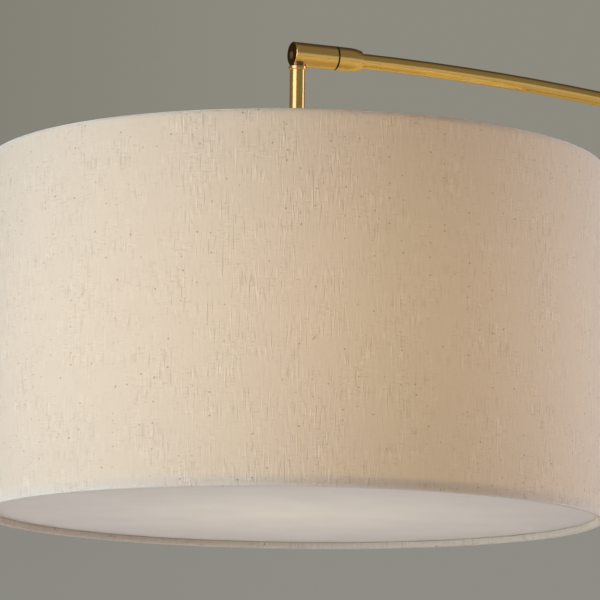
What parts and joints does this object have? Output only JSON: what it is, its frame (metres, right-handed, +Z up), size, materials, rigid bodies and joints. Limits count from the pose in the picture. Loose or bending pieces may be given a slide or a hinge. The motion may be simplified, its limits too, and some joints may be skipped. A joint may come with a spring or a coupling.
{
  "type": "arc floor lamp",
  "caption": "Arc floor lamp with a weighted round base, sectional brass pole, curved swivelling arm and a tilting linen drum shade with diffuser.",
  "frame": {"origin": "centre of the base's underside, on the pole's axis", "axes": "+Z up along the pole, the arm and shade reach out towards -X, Y across the lamp"},
  "size_m": [1.4743, 0.508, 1.9458],
  "materials": {
    "brass": "brushed antique brass, satin lacquer",
    "dark_brass": "darkened brass",
    "cast_iron": "raw casting",
    "steel": "zinc-plated",
    "white_enamel": "white enamelled wire",
    "felt": "pressed wool felt",
    "linen": "plain-woven natural linen with slubs and flecks",
    "shade_liner": "translucent styrene sheet",
    "diffuser": "opal acrylic, satin",
    "black_plastic": "moulded, fine grain",
    "lead_sheath": "smooth cable sheath",
    "socket_ceramic": "glazed porcelain look",
    "socket_metal": "bare stamped brass",
    "bulb_metal": "rolled thread, satin",
    "bulb_glass": "opal white glass"
  },
  "bodies": {
    "stand": {"base_felt": "felt", "base_weight": "cast_iron", "base_cover": "brass", "base_washer": "steel", "base_bolt": "steel", "pole_foot_plug": "steel", "foot_collar": "brass", "pole_lower": "brass", "cord_bushing": "black_plastic", "pole_coupler": "brass", "pole_middle": "brass", "switch_cap_lower": "brass", "switch_housing": "brass", "switch_cap_upper": "brass", "switch_body": "black_plastic", "switch_nut": "brass", "pole_upper": "brass", "arm_socket": "brass", "lead_stand": "lead_sheath"},
    "switch_control": {"switch_shaft": "steel", "switch_knob": "dark_brass"},
    "clamp": {"clamp_screw": "brass"},
    "arm": {"arm_rear": "brass", "arm_coupler_rear": "brass", "arm_middle": "brass", "arm_coupler_front": "brass", "arm_front": "brass", "arm_collar": "brass", "swivel_spindle": "steel", "friction_washer": "black_plastic", "spring_washer": "steel", "swivel_nut": "steel", "lead_arm": "lead_sheath"},
    "head": {"elbow_barrel": "brass", "elbow_cap": "dark_brass", "elbow_nipple": "steel", "stem_ring": "brass", "stem": "brass", "socket_nipple": "steel", "spider": "white_enamel", "spider_nut": "brass", "socket_cap": "brass", "socket_shell": "brass", "socket_insulator": "socket_ceramic", "socket_screw_shell": "socket_metal", "socket_contact": "socket_metal", "bulb_glass": "bulb_glass", "bulb_cap": "bulb_metal", "bulb_contact": "steel", "shade_liner": "shade_liner", "shade_fabric": "linen", "shade_bottom_ring": "white_enamel", "lead_head": "lead_sheath"},
    "diffuser": {"diffuser": "diffuser"}
  },
  "joints": [
    {"name": "arm_swivel", "type": "hinge", "parent": "stand", "child": "arm", "pos_m": [0, 0, 1.4325], "axis": [0, 0, 1], "range_deg": [-150, 150]},
    {"name": "head_swivel", "type": "hinge", "parent": "arm", "child": "head", "pos_m": [-1.01695, 0, 1.93578], "axis": [1, 0, 0], "range_deg": [-45, 45]},
    {"name": "diffuser_lift", "type": "slide", "parent": "head", "child": "diffuser", "axis": [0, 0, 1], "range_m": [0, 0.04]},
    {"name": "clamp_turn", "type": "hinge", "parent": "stand", "child": "clamp", "pos_m": [0.009, 0, 1.444], "axis": [1, 0, 0], "range_deg": [0, 360]},
    {"name": "switch_turn", "type": "hinge", "parent": "stand", "child": "switch_control", "pos_m": [-0.02, 0, 0.946], "axis": [-1, 0, 0], "continuous": true}
  ]
}
